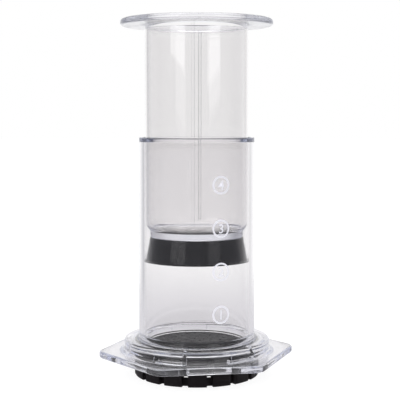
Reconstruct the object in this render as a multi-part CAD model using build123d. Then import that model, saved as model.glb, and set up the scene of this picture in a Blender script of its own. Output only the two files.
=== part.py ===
"""Hand-driven piston coffee press: clear chamber, clear plunger, rubber seal and black filter cap.

Millimetres, +Z up, origin at the centre of the cap's foot. The corners of the foot flange
point along X and every 60 degrees from there. One STEP file is written for each piece.
"""
from build123d import *
from math import sqrt
import os

os.makedirs("parts", exist_ok=True)

# Whole press
bayonet_count = 6
full_turn = 360
bayonet_pitch = full_turn / bayonet_count
cut_overrun = 1.0
join_overlap = 0.1

# Fits: the seal slides in the bore, everything else clears its neighbour
seal_running_clearance = 0.05
cap_clearance = 0.35
seal_seat_clearance = 0.05

# Chamber tube
bore_radius = 29.8
chamber_wall = 2.8
chamber_height = 116.2
rim_outer_round = 0.7
rim_inner_round = 0.6
rim_lead_width = 1.1
rim_lead_height = 2.4
rim_lead_round = 1.0
neck_step = 1.8
neck_height = 3.9
funnel_height = 1.8
funnel_round = 2.0

# Foot flange and bayonet collar of the chamber
mug_rest_width = 7.8
flange_thickness = 3.8
flange_corner_round = 8.0
flange_edge_round = 1.1
lug_tip_clearance = 0.7
collar_height = 6.7
collar_top_thickness = 2.6
collar_wall = 3.4
collar_edge_round = 1.8
collar_foot_fillet = 3.0
collar_ceiling_fillet = 2.8
tube_foot_fillet = 1.4
mouth_lip = 0.4
mouth_flare_height = 3.5
mouth_flare_round = 0.8

# Bayonet ledges and stops of the collar
ledge_height = 2.8
ledge_sector = 23.4
stop_gap_angle = 0.5
stop_sector = 3.0
stop_reach = 1.9

# Filter cap
cap_reach_past_bore = 5.3
cap_wall = 5.5
cap_foot_height = 10.2
plate_thickness = 2.0
filter_recess_depth = 0.6
filter_recess_wall = 2.1
cap_foot_round = 0.8
cap_rim_round = 0.4
cap_ceiling_fillet = 1.6

# Lugs of the cap
lug_sector = 20.0
lug_reach = 1.8
lug_height = 3.25
lug_edge_chamfer = 0.5

# Grip notches of the cap and the slots in their walls
notch_count = 16
notch_phase = 3.7
notch_width = 3.5
notch_depth = 3.7
notch_corner_round = 0.5
slot_width = 2.8
slot_height = 1.0
slot_level = 4.3

# Drain holes of the filter plate
hole_diameter = 2.0
hole_field_margin = 4.1
hole_ring_count = 5
holes_per_ring_step = 6

# Plunger tube and its push flange
plunger_clearance = 0.7
plunger_draft = 0.3
plunger_wall = 1.5
push_flange_reach = 13.8
push_flange_thickness = 3.6
push_flange_round = 1.4
push_flange_fillet = 2.0
plunger_mouth_round = 0.7
plunger_floor_thickness = 3.4
plunger_floor_fillet = 5.5
plunger_height = 133.4
plunger_rest_lift = 48.9

# Lower end of the plunger: shoulder, end ring, groove and hollow head for the seal
shoulder_height = 5.8
shoulder_reach = 2.3
end_ring_taper = 0.5
end_ring_height = 3.6
groove_depth = 6.0
groove_height = 3.7
head_step = 2.1
head_height = 7.9
head_wall = 6.4
head_round = 0.8

# Seal
seal_top_step = 3.45
seal_skirt_step = 1.25
seal_lip_height = 0.4
seal_lip_round = 0.2
seal_flare_height = 0.5
seal_face_thickness = 2.6
seal_heel = 0.5
seal_dome = 0.9

# Levels worked out from the sizes above
flange_bottom = cap_foot_height
flange_top = flange_bottom + flange_thickness
collar_top = flange_top + collar_height
collar_ceiling = collar_top - collar_top_thickness
plate_top = collar_ceiling - cap_clearance - filter_recess_depth
plate_bottom = plate_top - plate_thickness
cap_height = plate_top + filter_recess_depth
tube_foot = plate_top + cap_clearance
chamber_rim = tube_foot + chamber_height
rim_lead_foot = chamber_rim - rim_lead_height
neck_top = tube_foot + neck_height
funnel_top = neck_top + funnel_height
mouth_flare_top = flange_bottom + mouth_flare_height
ledge_top = flange_bottom + ledge_height
lug_bottom = ledge_top + cap_clearance
lug_top = lug_bottom + lug_height
notch_top = ledge_top
head_bottom = tube_foot + plunger_rest_lift
head_top = head_bottom + head_height
ring_bottom = head_top + groove_height
ring_top = ring_bottom + end_ring_height
floor_bottom = ring_top - plunger_floor_thickness
shoulder_top = ring_top + shoulder_height
plunger_top = head_bottom + plunger_height
push_flange_bottom = plunger_top - push_flange_thickness
seal_top = ring_bottom - seal_seat_clearance
seal_cavity_floor = head_bottom - seal_seat_clearance
seal_bottom = seal_cavity_floor - seal_face_thickness

# Radii worked out from the bore outwards: chamber, cap, lugs, collar, then the foot flange round them
chamber_radius = bore_radius + chamber_wall
neck_radius = bore_radius - neck_step
cap_radius = bore_radius + cap_reach_past_bore
cap_hollow_radius = cap_radius - cap_wall
recess_radius = cap_radius - filter_recess_wall
hole_ring_pitch = (cap_hollow_radius - hole_field_margin) / hole_ring_count
lug_radius = cap_radius + lug_reach
ledge_radius = cap_radius + cap_clearance
cavity_radius = lug_radius + lug_tip_clearance
collar_radius = cavity_radius + collar_wall
mouth_radius = collar_radius - mouth_lip
flange_across_flats = 2 * (collar_radius + mug_rest_width)

# Radii worked out from the bore inwards: plunger, its end, then the seal
plunger_top_radius = bore_radius - plunger_clearance
plunger_end_radius = plunger_top_radius - plunger_draft
plunger_mouth_radius = plunger_top_radius - plunger_wall
plunger_bottom_bore = plunger_end_radius - plunger_wall
push_flange_radius = plunger_top_radius + push_flange_reach
end_ring_radius = plunger_end_radius - shoulder_reach
groove_radius = end_ring_radius - groove_depth
head_radius = end_ring_radius - head_step
head_bore_radius = head_radius - head_wall
seal_lip_radius = bore_radius - seal_running_clearance
seal_skirt_radius = seal_lip_radius - seal_skirt_step
seal_top_radius = seal_lip_radius - seal_top_step

# How far the moving pieces travel
press_travel = seal_bottom + seal_dome - funnel_top - funnel_round - cap_clearance
draw_travel = chamber_rim + cap_clearance - seal_bottom
twist_travel = bayonet_pitch / 2


def turned(outline, rounds):
    """Revolve a closed outline of radius and height, after rounding the corners that are listed."""
    section = make_face(outline)
    for corner, radius in rounds:
        section = fillet(section.vertices().sort_by_distance(corner)[0], radius)
    return revolve(Plane.XZ * section, Axis.Z)


def ring_sector(inner, outer, bottom, top, middle_angle, width_angle):
    """One stretch of a square ring, centred on an angle seen from above."""
    section = make_face(Polyline((inner, bottom), (outer, bottom), (outer, top), (inner, top), close=True))
    block = revolve(Plane.XZ * section, Axis.Z, revolution_arc=width_angle)
    return Rotation(0, 0, middle_angle - width_angle / 2) * block


def around(piece, count, phase=0.0):
    """Copies of a piece at equal angles about the axis."""
    return [Rotation(0, 0, phase + turn * full_turn / count) * piece for turn in range(count)]


def foot_flange():
    """Hexagonal plate with large corner rounds and rolled edges."""
    outline = RegularPolygon(flange_across_flats / 2, bayonet_count, major_radius=False)
    outline = fillet(outline.vertices(), flange_corner_round)
    plate = Pos(0, 0, flange_bottom) * extrude(outline, flange_thickness)
    faces = plate.faces().sort_by(Axis.Z)
    return fillet(faces[0].edges() + faces[-1].edges(), flange_edge_round)


def bayonet_cavity():
    """Space that the cap fills: flared mouth, rounded ceiling and a step up round the foot of the tube."""
    mouth_bottom = flange_bottom - cut_overrun
    return turned(
        Polyline(
            (0, mouth_bottom),
            (mouth_radius, mouth_bottom),
            (mouth_radius, flange_bottom),
            (cavity_radius, mouth_flare_top),
            (cavity_radius, collar_ceiling),
            (chamber_radius, collar_ceiling),
            (chamber_radius, tube_foot),
            (0, tube_foot),
            close=True,
        ),
        [
            ((cavity_radius, mouth_flare_top), mouth_flare_round),
            ((cavity_radius, collar_ceiling), collar_ceiling_fillet),
        ],
    )


def make_chamber():
    """Clear tube with a tapered lead-in, a neck over the filter, and the bayonet collar on its flange."""
    tube_and_collar = turned(
        Polyline(
            (neck_radius, flange_bottom),
            (collar_radius, flange_bottom),
            (collar_radius, collar_top),
            (chamber_radius, collar_top),
            (chamber_radius, chamber_rim),
            (bore_radius + rim_lead_width, chamber_rim),
            (bore_radius, rim_lead_foot),
            (bore_radius, funnel_top),
            (neck_radius, neck_top),
            close=True,
        ),
        [
            ((collar_radius, collar_top), collar_edge_round),
            ((chamber_radius, collar_top), tube_foot_fillet),
            ((chamber_radius, chamber_rim), rim_outer_round),
            ((bore_radius + rim_lead_width, chamber_rim), rim_inner_round),
            ((bore_radius, rim_lead_foot), rim_lead_round),
            ((bore_radius, funnel_top), funnel_round),
        ],
    )
    chamber = tube_and_collar + foot_flange()
    foot_edge = (
        chamber.edges()
        .filter_by(GeomType.CIRCLE)
        .filter_by(lambda edge: abs(edge.radius - collar_radius) < collar_edge_round / 2)
        .filter_by(lambda edge: abs(edge.center().Z - flange_top) < collar_edge_round / 2)
    )
    chamber = fillet(foot_edge, collar_foot_fillet) - bayonet_cavity()
    ledge_root = mouth_radius + cut_overrun
    ledge = ring_sector(ledge_radius, ledge_root, flange_bottom, ledge_top, 0, ledge_sector)
    stop_angle = lug_sector / 2 + stop_gap_angle + stop_sector / 2
    stop_inner = cavity_radius - stop_reach
    stop_root = mouth_radius + join_overlap
    stop_top = collar_ceiling + collar_top_thickness / 2
    stop = ring_sector(stop_inner, stop_root, flange_bottom, stop_top, stop_angle, stop_sector)
    return chamber + around(ledge, bayonet_count) + around(stop, bayonet_count)


def make_plunger():
    """Clear tapered tube with a floor, a push flange on top and a snap-on head for the seal below."""
    shoulder_radius = (shoulder_height**2 + shoulder_reach**2) / (2 * shoulder_reach)
    halfway = shoulder_height / 2
    belly = plunger_end_radius - (shoulder_radius - sqrt(shoulder_radius**2 - halfway**2))
    wall = Polyline(
        (plunger_end_radius, shoulder_top),
        (plunger_top_radius, push_flange_bottom),
        (push_flange_radius, push_flange_bottom),
        (push_flange_radius, plunger_top),
        (plunger_mouth_radius, plunger_top),
        (plunger_bottom_bore, ring_top),
        (0, ring_top),
        (0, floor_bottom),
        (head_bore_radius, floor_bottom),
        (head_bore_radius, head_bottom),
        (head_radius, head_bottom),
        (head_radius, head_top),
        (groove_radius, head_top),
        (groove_radius, ring_bottom),
        (end_ring_radius - end_ring_taper, ring_bottom),
        (end_ring_radius, ring_top),
    )
    shoulder = ThreePointArc(
        (end_ring_radius, ring_top), (belly, ring_top + halfway), (plunger_end_radius, shoulder_top)
    )
    rounds = [
        ((plunger_top_radius, push_flange_bottom), push_flange_fillet),
        ((push_flange_radius, push_flange_bottom), push_flange_round),
        ((push_flange_radius, plunger_top), push_flange_round),
        ((plunger_mouth_radius, plunger_top), plunger_mouth_round),
        ((plunger_bottom_bore, ring_top), plunger_floor_fillet),
        ((head_radius, head_bottom), head_round),
        ((head_radius, head_top), head_round),
    ]
    return turned(wall + shoulder, rounds)


def make_seal():
    """Rubber cup that snaps over the plunger's head, with a lip that wipes the bore."""
    lip_bottom = seal_bottom + seal_dome
    lip_top = lip_bottom + seal_lip_height
    flare_top = lip_top + seal_flare_height
    head_space = head_radius + seal_seat_clearance
    groove_space = groove_radius + seal_seat_clearance
    shelf = head_top + seal_seat_clearance
    dome_radius = (seal_lip_radius**2 + seal_dome**2) / (2 * seal_dome)
    half_lip = seal_lip_radius / 2
    dome_middle = seal_bottom + dome_radius - sqrt(dome_radius**2 - half_lip**2)
    walls = Polyline(
        (seal_lip_radius, lip_bottom),
        (seal_lip_radius, lip_top),
        (seal_skirt_radius, flare_top),
        (seal_top_radius, seal_top),
        (groove_space, seal_top),
        (groove_space, shelf),
        (head_space, shelf),
        (head_space, seal_cavity_floor),
        (0, seal_cavity_floor),
        (0, seal_bottom),
    )
    face_arc = ThreePointArc((0, seal_bottom), (half_lip, dome_middle), (seal_lip_radius, lip_bottom))
    rounds = [
        ((seal_top_radius, seal_top), seal_heel),
        ((seal_lip_radius, lip_bottom), seal_lip_round),
        ((seal_skirt_radius, flare_top), seal_heel),
    ]
    return turned(walls + face_arc, rounds)


def drain_holes():
    """Round holes through the filter plate, in rings about a middle one."""
    height = plate_thickness + 2 * cut_overrun
    drill = Pos(0, 0, plate_bottom - cut_overrun) * Cylinder(
        hole_diameter / 2, height, align=(Align.CENTER, Align.CENTER, Align.MIN)
    )
    holes = [drill]
    for ring in range(1, hole_ring_count + 1):
        outward = Pos(ring * hole_ring_pitch, 0, 0) * drill
        holes += around(outward, ring * holes_per_ring_step)
    return holes


def grip_notch():
    """Upright channel in the skirt, open at the foot, with rounded inner corners."""
    reach = notch_depth + cut_overrun
    channel = Pos(cap_radius - notch_depth + reach / 2, 0, 0) * Rectangle(reach, notch_width)
    inner_corners = channel.vertices().sort_by(Axis.X)[:2]
    channel = fillet(inner_corners, notch_corner_round)
    return Pos(0, 0, -cut_overrun) * extrude(channel, notch_top + cut_overrun)


def notch_slot():
    """Narrow see-through slot in the thin wall behind a grip notch."""
    inner = cap_hollow_radius - cut_overrun
    outer = cap_radius - notch_depth + cut_overrun
    cutter = Box(outer - inner, slot_width, slot_height)
    return Pos((inner + outer) / 2, 0, slot_level + slot_height / 2) * cutter


def make_filter_cap():
    """Perforated plate with a gripping skirt below and bayonet lugs that hold it in the collar."""
    cap = turned(
        Polyline(
            (0, plate_bottom),
            (cap_hollow_radius, plate_bottom),
            (cap_hollow_radius, 0),
            (cap_radius, 0),
            (cap_radius, cap_height),
            (recess_radius, cap_height),
            (recess_radius, plate_top),
            (0, plate_top),
            close=True,
        ),
        [
            ((cap_hollow_radius, plate_bottom), cap_ceiling_fillet),
            ((cap_radius, 0), cap_foot_round),
            ((cap_radius, cap_height), cap_rim_round),
        ],
    )
    lug_root = cap_radius - filter_recess_wall / 2
    lug = ring_sector(lug_root, lug_radius, lug_bottom, lug_top, 0, lug_sector)
    upper_arcs = lug.edges().filter_by(GeomType.CIRCLE).sort_by(Axis.Z)[-2:]
    lug = chamfer(upper_arcs.sort_by(lambda edge: edge.radius)[-1], lug_edge_chamfer)
    cap = cap + around(lug, bayonet_count)
    cap = cap - around(grip_notch(), notch_count, notch_phase)
    cap = cap - around(notch_slot(), notch_count, notch_phase)
    return cap - drain_holes()


pieces = {
    "chamber": make_chamber(),
    "plunger": make_plunger(),
    "seal": make_seal(),
    "filter_cap": make_filter_cap(),
}

for node, piece in pieces.items():
    export_step(piece, "parts/" + node + ".step")

print("overall height", round(plunger_top, 2), "across flats", flange_across_flats)
print("plunger travel down", round(press_travel, 2), "up", round(draw_travel, 2))
print("cap twist to the gaps between the ledges", twist_travel, "degrees")
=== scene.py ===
# %% [markdown]
# A piston coffee press in a white studio.
#
# The press has four separate pieces: a clear chamber with a hexagonal foot flange, a clear plunger that
# slides in it, a black rubber seal on the plunger's end and a black filter cap that twists into the foot.
# Almost everything that the eye sees is light bent by clear walls, so the shapes come first here, with true
# walls, rounds and clearances, and the finishes stay simple. Every cell explains one step.

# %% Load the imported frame
import math

import bmesh
import bpy
import numpy as np
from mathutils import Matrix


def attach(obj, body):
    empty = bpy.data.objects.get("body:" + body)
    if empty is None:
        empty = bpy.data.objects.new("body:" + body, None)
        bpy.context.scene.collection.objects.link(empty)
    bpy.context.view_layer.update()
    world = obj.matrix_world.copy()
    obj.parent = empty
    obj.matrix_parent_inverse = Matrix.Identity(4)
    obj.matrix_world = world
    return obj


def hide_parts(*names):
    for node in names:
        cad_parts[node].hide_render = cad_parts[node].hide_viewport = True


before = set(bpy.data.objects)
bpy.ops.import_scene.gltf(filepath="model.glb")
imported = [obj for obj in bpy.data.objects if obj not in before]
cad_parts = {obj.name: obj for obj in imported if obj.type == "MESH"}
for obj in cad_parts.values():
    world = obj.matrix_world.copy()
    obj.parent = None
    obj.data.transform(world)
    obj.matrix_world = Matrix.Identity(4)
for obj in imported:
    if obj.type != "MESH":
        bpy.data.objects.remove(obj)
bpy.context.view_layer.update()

MM = 0.001

# %% [markdown]
# The camera stands where the photographer stood: 583 mm from the axis and level with the upper third of
# the press, a little to one side. The upright edges in the picture run almost parallel, which a
# view camera gives by sliding its lens down rather than by tilting. A little of that slide is kept here as
# shift, and the rest is tilt, so that the other views of the object stay well framed.

# %% Camera
PICTURE_SIDE = 400
SENSOR_WIDTH = 36.0
FOCAL_PIXELS = 1033.5
CAMERA_DISTANCE = 0.5832
CAMERA_HEIGHT = 0.14559
CAMERA_TURN = math.radians(-8.2)
HORIZON_ROW = 116.15
AXIS_COLUMN = 196.7
SHIFT_ROWS = 40.0
NEAR_CLIP = 0.01

lens = bpy.data.cameras.new("studio_camera")
lens.sensor_width = SENSOR_WIDTH
lens.lens = FOCAL_PIXELS / PICTURE_SIDE * SENSOR_WIDTH
lens.shift_y = -SHIFT_ROWS / PICTURE_SIDE
lens.clip_start = NEAR_CLIP
camera = bpy.data.objects.new("studio_camera", lens)
bpy.context.scene.collection.objects.link(camera)
bpy.context.scene.camera = camera
camera.location = (
    CAMERA_DISTANCE * math.sin(CAMERA_TURN),
    -CAMERA_DISTANCE * math.cos(CAMERA_TURN),
    CAMERA_HEIGHT,
)
tilt = math.atan((PICTURE_SIDE / 2 - HORIZON_ROW - SHIFT_ROWS) / FOCAL_PIXELS)
swing = math.atan((PICTURE_SIDE / 2 - AXIS_COLUMN) / FOCAL_PIXELS)
camera.rotation_euler = (math.pi / 2 - tilt, 0, CAMERA_TURN - swing)
bpy.context.scene.view_settings.view_transform = "Standard"
print("lens", round(lens.lens, 2), "mm, tilt", round(math.degrees(tilt), 2), "degrees")

# %% [markdown]
# Small helpers for shader nodes. A material is a net of nodes, and writing it as code stays readable when
# placing a node and joining two sockets are one short call each.

# %% Placing and joining nodes
def place(tree, kind, **settings):
    """Put a node of one kind into a tree and set its own properties."""
    made = tree.nodes.new("ShaderNode" + kind)
    for name, value in settings.items():
        setattr(made, name, value)
    return made


def connect(tree, value, socket):
    """Link another node's output to an input, or set the input when the value is a plain one."""
    if isinstance(value, bpy.types.NodeSocket):
        tree.links.new(value, socket)
    else:
        socket.default_value = value


def feed(tree, target, *in_order, **by_name):
    """Fill a node's first inputs in order and others by name, with an underscore for each space in it."""
    for number, value in enumerate(in_order):
        connect(tree, value, target.inputs[number])
    for name, value in by_name.items():
        connect(tree, value, target.inputs[name.replace("_", " ")])
    return target


def new_group(title, inputs, outputs):
    """A shader node group with named sockets, returned with its input and output nodes."""
    group = bpy.data.node_groups.new(title, "ShaderNodeTree")
    for label, kind, value in inputs:
        socket = group.interface.new_socket(label, in_out="INPUT", socket_type="NodeSocket" + kind)
        socket.default_value = value
    for label, kind in outputs:
        group.interface.new_socket(label, in_out="OUTPUT", socket_type="NodeSocket" + kind)
    return group, group.nodes.new("NodeGroupInput"), group.nodes.new("NodeGroupOutput")


def new_material(title):
    """An empty material and its node tree, with an output node in it."""
    material = bpy.data.materials.new(title)
    material.use_nodes = True
    material.node_tree.nodes.clear()
    return material, material.node_tree, place(material.node_tree, "OutputMaterial")


print("ready: place, connect, feed, new_group, new_material")

# %% [markdown]
# A few more helpers do the sums of a material. Each one places its node and hands back the output, so
# that a formula in nodes reads almost like one in plain code.

# %% Sums in nodes
# A Mix node has inputs for numbers, vectors and colours, and these are the places of its colour ones
MIX_SHARE, MIX_FIRST, MIX_LAST, MIX_COLOUR = 0, 6, 7, 2
# Times this, a vector keeps its x and y and loses its z
FLAT = (1, 1, 0)


def mix(tree, share, first, last):
    """A colour between two: the first where the share is 0, the last where it is 1."""
    blend = place(tree, "Mix", data_type="RGBA")
    connect(tree, share, blend.inputs[MIX_SHARE])
    connect(tree, first, blend.inputs[MIX_FIRST])
    connect(tree, last, blend.inputs[MIX_LAST])
    return blend.outputs[MIX_COLOUR]


def stretch(tree, value, start, end, low=0.0, high=1.0, curve="LINEAR"):
    """Carry the values from start to end over to those from low to high, and hold both ends."""
    ramp = place(tree, "MapRange", interpolation_type=curve)
    return feed(tree, ramp, Value=value, From_Min=start, From_Max=end, To_Min=low, To_Max=high).outputs[0]


def fade(tree, value, start, end, low=0.0, high=1.0):
    """The same as stretch, but along a soft S curve."""
    return stretch(tree, value, start, end, low, high, "SMOOTHSTEP")


def maths(tree, operation, *values):
    """One sum of numbers."""
    return feed(tree, place(tree, "Math", operation=operation), *values).outputs[0]


def vector_maths(tree, operation, *values):
    """One sum of vectors. A length or a dot product comes out as a number."""
    step = feed(tree, place(tree, "VectorMath", operation=operation), *values)
    return step.outputs["Value" if operation in ("LENGTH", "DOT_PRODUCT") else "Vector"]


def height_of(tree, vector):
    """The z part of a vector."""
    return feed(tree, place(tree, "SeparateXYZ"), vector).outputs["Z"]


print("ready: mix, stretch, fade, maths, vector_maths, height_of")

# %% [markdown]
# The studio. Clear plastic shows only what stands round it, so the room matters as much as the object: a
# white sweep behind gives the clear walls their light, and the dimmer sides of the room draw the grey lines
# along their edges. The room is one tone by direction, used by the world and by the floor, so that the
# two join without an edge. What the camera sees directly is plain white paper.

# %% Room tone by direction
BACK_DIRECTION = (-math.sin(CAMERA_TURN), math.cos(CAMERA_TURN), 0.0)
RIGHT_DIRECTION = (math.cos(CAMERA_TURN), math.sin(CAMERA_TURN), 0.0)
BACK_TONE = (1.0, 1.0, 1.0, 1.0)
LEFT_TONE = (0.46, 0.46, 0.48, 1.0)
RIGHT_TONE = (0.70, 0.69, 0.70, 1.0)
FRONT_TONE = (0.12, 0.12, 0.14, 1.0)
TOP_TONE = (0.95, 0.96, 1.00, 1.0)
PAPER = (1.0, 1.0, 1.0, 1.0)


def cosines(*angles):
    """Cosines of angles in degrees, to compare with the dot product of two directions."""
    return [math.cos(math.radians(angle)) for angle in angles]


BACK_STARTS, BACK_IS_FULL = cosines(42, 13)
SIDES_END, FRONT_IS_FULL = cosines(55, 80)
TOP_STARTS, TOP_IS_FULL = 0.45, 0.95
LEFT_ENDS, RIGHT_IS_FULL = -0.3, 0.3


def make_room_tone():
    """Tone of the room: white behind, dim at the sides, dark in front and pale above.

    Behind and in front go by the angle off the back, left and right by the part across the view, and above
    by the part that points up.
    """
    group, inner, outer = new_group("room_tone", [("Direction", "Vector", (0, 1, 0))], [("Tone", "Color")])
    direction = inner.outputs["Direction"]
    level = vector_maths(group, "NORMALIZE", vector_maths(group, "MULTIPLY", direction, FLAT))
    facing = vector_maths(group, "DOT_PRODUCT", level, BACK_DIRECTION)
    across = vector_maths(group, "DOT_PRODUCT", level, RIGHT_DIRECTION)
    height = height_of(group, vector_maths(group, "NORMALIZE", direction))
    sides = mix(group, fade(group, across, LEFT_ENDS, RIGHT_IS_FULL), LEFT_TONE, RIGHT_TONE)
    nearer = mix(group, fade(group, facing, SIDES_END, FRONT_IS_FULL), sides, FRONT_TONE)
    walls = mix(group, fade(group, facing, BACK_STARTS, BACK_IS_FULL), nearer, BACK_TONE)
    whole = mix(group, fade(group, height, TOP_STARTS, TOP_IS_FULL), walls, TOP_TONE)
    feed(group, outer, Tone=whole)
    return group


room_tone = make_room_tone()
print("room tone group with", len(room_tone.nodes), "nodes")

# %% [markdown]
# The world gives that tone to every ray that leaves the scene. A Light Path node tells the camera's own
# rays from the rest, so that they find white paper while the plastic still mirrors the room.

# %% World
world = bpy.data.worlds.new("studio_world")
bpy.context.scene.world = world
world.use_nodes = True
sky = world.node_tree
sky.nodes.clear()
sky_tone = feed(sky, place(sky, "Group", node_tree=room_tone), place(sky, "TexCoord").outputs["Generated"])
sky_seen = place(sky, "LightPath").outputs["Is Camera Ray"]
sky_colour = mix(sky, sky_seen, sky_tone.outputs["Tone"], PAPER)
sky_light = feed(sky, place(sky, "Background"), Color=sky_colour, Strength=1.0)
feed(sky, place(sky, "OutputWorld"), Surface=sky_light.outputs[0])
print("world with", len(sky.nodes), "nodes")

# %% [markdown]
# The floor is a wide disc of paper just under the press. Near the press it glows a dimmer grey, which is
# painted shade: the camera never sees it directly, but it shows through and in the clear parts, and further
# out the floor takes on the tone of the room.

# %% Floor
FLOOR_RADIUS = 6.0
FLOOR_DROP = 0.0002
FLOOR_RINGS = 24
FLOOR_STEPS = 96
# Painted shade: the dimmer grey that the floor glows near the press, seen only through and in the clear parts
TABLE_SHADE_TONE = (0.60, 0.59, 0.62, 1.0)
TABLE_ENDS, SWEEP_IS_FULL = 0.10, 0.45
PAPER_GLOW = 0.9
PAPER_MATT = (0.25, 0.25, 0.25, 1.0)


def disc_grid(radius, level, rings, steps):
    """A flat disc. Point (i, j) lies at radius * i / rings from the middle, at the angle 2 pi j / steps."""
    reach = radius * np.arange(1, rings + 1)[:, None] / rings
    angle = 2 * np.pi * np.arange(steps)[None] / steps
    flat = np.stack([reach * np.cos(angle), reach * np.sin(angle), level + 0 * reach * angle], axis=-1)
    points = np.vstack([flat.reshape(-1, 3), [[0, 0, level]]])
    i, j = np.meshgrid(np.arange(rings - 1), np.arange(steps), indexing="ij")
    here, right = i * steps + j, i * steps + (j + 1) % steps
    quads = np.stack([here, here + steps, right + steps, right], axis=-1).reshape(-1, 4)
    rim = np.arange(steps)
    fan = np.stack([0 * rim + len(points) - 1, rim, (rim + 1) % steps], axis=-1)
    return points, quads.tolist() + fan.tolist()


def floor_material():
    """White paper: lit from within for an even tone, with a weak matt share that takes the soft shadow."""
    material, tree, output = new_material("floor_paper")
    where = place(tree, "TexCoord").outputs["Object"]
    room = feed(tree, place(tree, "Group", node_tree=room_tone), where)
    far = fade(tree, vector_maths(tree, "LENGTH", where), TABLE_ENDS, SWEEP_IS_FULL)
    # painted shade: near the press the floor glows a dimmer grey for every ray but the camera's own
    table = mix(tree, far, TABLE_SHADE_TONE, room.outputs["Tone"])
    seen = mix(tree, place(tree, "LightPath").outputs["Is Camera Ray"], table, PAPER)
    glow = feed(tree, place(tree, "Emission"), Color=seen, Strength=PAPER_GLOW)
    matt = feed(tree, place(tree, "BsdfDiffuse"), Color=PAPER_MATT)
    both = feed(tree, place(tree, "AddShader"), glow.outputs[0], matt.outputs[0])
    feed(tree, output, Surface=both.outputs[0])
    return material


floor_points, floor_faces = disc_grid(FLOOR_RADIUS, -FLOOR_DROP, FLOOR_RINGS, FLOOR_STEPS)
floor_mesh = bpy.data.meshes.new("floor")
floor_mesh.from_pydata(floor_points.tolist(), [], floor_faces)
floor = bpy.data.objects.new("floor", floor_mesh)
bpy.context.scene.collection.objects.link(floor)
floor_mesh.materials.append(floor_material())
print("floor with", len(floor_faces), "faces")

# %% [markdown]
# The lamps. Two tall soft boxes stand in front, left and right of the camera. Their lower edges are higher
# than the middle of the press, so their mirror images fill the upper tube and fade out down its sides, as
# tall pale bars. A wide one overhead fills the top edges.

# %% Soft boxes
TOP_LAMP_HEIGHT = 1.6


def add_lamp(title, width, height, radiance):
    """A rectangular lamp that looks down; radiance is how bright its face looks."""
    data = bpy.data.lights.new(title, "AREA")
    data.shape = "RECTANGLE"
    data.size, data.size_y = width, height
    data.energy = radiance * math.pi * width * height
    lamp = bpy.data.objects.new(title, data)
    bpy.context.scene.collection.objects.link(lamp)
    lamp.visible_camera = False
    print(title, round(data.energy, 2), "W")
    return lamp


def soft_box(title, azimuth, distance, width, bottom, top, radiance, roll):
    """A lamp stood upright to face the press, with its sides tipped by the roll; angles in degrees."""
    lamp = add_lamp(title, width, top - bottom, radiance)
    turn = CAMERA_TURN + math.radians(azimuth)
    lamp.location = (distance * math.sin(turn), -distance * math.cos(turn), (bottom + top) / 2)
    lamp.rotation_euler = (math.pi / 2, 0, turn)
    lamp.rotation_euler.rotate_axis("Z", math.radians(roll))


soft_box("lamp_left", azimuth=-42, distance=1.1, width=0.66, bottom=0.225, top=1.15, radiance=1.25, roll=-3)
soft_box("lamp_right", azimuth=39, distance=1.1, width=0.50, bottom=0.150, top=1.15, radiance=0.80, roll=4)
top_lamp = add_lamp("lamp_top", width=1.0, height=0.8, radiance=1.0)
top_lamp.location = (0.0, 0.0, TOP_LAMP_HEIGHT)

# %% [markdown]
# Shapes. Each clear piece is a profile carried round the axis, because that is what the real mould is: a
# turned core in a turned cavity. A profile is a short list of corners with a round for each, and numpy turns
# that into a fine outline. Guard points beside every arc keep the smooth shading of a round from bending
# the flat next to it, which would show at once in a clear wall.

# %% Profiles with rounded corners
ARC_STEPS = 8
GUARD = 0.15


def rounded_profile(corners):
    """Points along an outline of (radius, height, round) corners.

    An arc touches both sides at round / tan(h) from its corner, where h is half the inner angle, and its
    centre lies on the bisector at round / sin(h). One guard point stands just outside each end of it.
    """
    table = np.array(corners, float)
    ends, rounds = table[:, :2], table[:, 2]
    pieces = []
    for k, here in enumerate(ends):
        if rounds[k] == 0:
            pieces.append(here[None])
            continue
        to_last = ends[k - 1] - here
        to_next = ends[(k + 1) % len(ends)] - here
        to_last, to_next = to_last / np.linalg.norm(to_last), to_next / np.linalg.norm(to_next)
        half = np.arccos(np.clip(to_last @ to_next, -1, 1)) / 2
        reach = rounds[k] / np.tan(half)
        bisector = (to_last + to_next) / np.linalg.norm(to_last + to_next)
        centre = here + bisector * rounds[k] / np.sin(half)
        first, last = here + to_last * reach - centre, here + to_next * reach - centre
        sweep = np.arctan2(first[0] * last[1] - first[1] * last[0], first @ last)
        turn = np.linspace(0, sweep, ARC_STEPS + 1)[:, None]
        side = np.array([-first[1], first[0]])
        arc = centre + np.cos(turn) * first + np.sin(turn) * side
        pieces += [arc[:1] + to_last * GUARD, arc, arc[-1:] + to_next * GUARD]
    return np.vstack(pieces)


print("one rounded corner becomes", ARC_STEPS + 3, "points")

# %% [markdown]
# A finished piece is smooth shaded, but stays crisp at its true corners. It is also measured: a clear piece
# only bends light rightly when its surface is closed, so the open edges are counted each time.

# %% Finished pieces
SHARP_ANGLE = math.radians(32)


def smooth(piece):
    """Smooth shading that breaks only at corners sharper than SHARP_ANGLE."""
    piece.data.polygons.foreach_set("use_smooth", np.ones(len(piece.data.polygons), bool))
    piece.data.set_sharp_from_angle(angle=SHARP_ANGLE)
    piece.data.update()


def add_piece(title, points, faces):
    """A linked object from points in millimetres, smooth shaded with its true corners kept sharp."""
    mesh = bpy.data.meshes.new(title)
    mesh.from_pydata((np.asarray(points) * MM).tolist(), [], faces)
    mesh.validate()
    piece = bpy.data.objects.new(title, mesh)
    bpy.context.scene.collection.objects.link(piece)
    smooth(piece)
    return piece


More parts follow.
